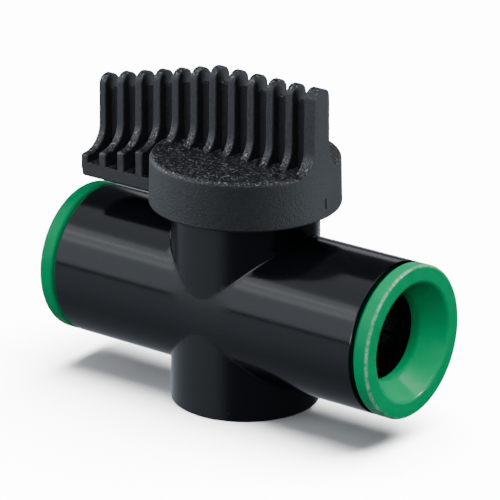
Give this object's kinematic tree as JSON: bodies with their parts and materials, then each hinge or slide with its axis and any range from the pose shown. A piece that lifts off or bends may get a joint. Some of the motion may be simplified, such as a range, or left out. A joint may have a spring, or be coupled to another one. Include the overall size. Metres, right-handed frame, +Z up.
{
  "type": "quarter-turn ball valve",
  "caption": "Straight black plastic ball valve with green push-in collars and a ribbed quarter-turn handle over an upright tower.",
  "frame": {"origin": "centre of the foot's flat underside, below the crossing of barrel and tower", "axes": "+X along the barrel towards the right port, +Z up the stem; the handle's long end lies over -X when the valve is open"},
  "size_m": [0.072, 0.0336, 0.0595],
  "materials": {
    "body_plastic": "moulded black, glossy on the barrel and satin on the tower",
    "handle_plastic": "charcoal, coarse spark-eroded grain",
    "collar_plastic": "green, semi-gloss, slightly translucent",
    "ball_plastic": "polished natural acetal",
    "seat_plastic": "white, low friction",
    "seal_rubber": "black nitrile",
    "stem_plastic": "dark grey, glass filled",
    "insert_plastic": "black, moulded",
    "spring_steel": "bright stainless strip"
  },
  "bodies": {
    "housing": {"valve_body": "body_plastic", "thrust_washer": "seat_plastic", "bonnet": "insert_plastic", "bonnet_o_ring": "seal_rubber", "seat_right": "seat_plastic", "seat_o_ring_right": "seal_rubber", "seat_carrier_right": "insert_plastic", "tube_o_ring_right": "seal_rubber", "backing_washer_right": "insert_plastic", "grab_ring_right": "spring_steel", "grab_holder_right": "insert_plastic", "collar_right": "collar_plastic", "seat_left": "seat_plastic", "seat_o_ring_left": "seal_rubber", "seat_carrier_left": "insert_plastic", "tube_o_ring_left": "seal_rubber", "backing_washer_left": "insert_plastic", "grab_ring_left": "spring_steel", "grab_holder_left": "insert_plastic", "collar_left": "collar_plastic"},
    "handle_unit": {"handle": "handle_plastic", "stem": "stem_plastic", "stem_o_ring_lower": "seal_rubber", "stem_o_ring_upper": "seal_rubber", "ball": "ball_plastic"}
  },
  "joints": [
    {"name": "handle_turn", "type": "hinge", "parent": "housing", "child": "handle_unit", "pos_m": [0, 0, 0.04], "axis": [0, 0, 1], "range_deg": [-90, 0]}
  ]
}
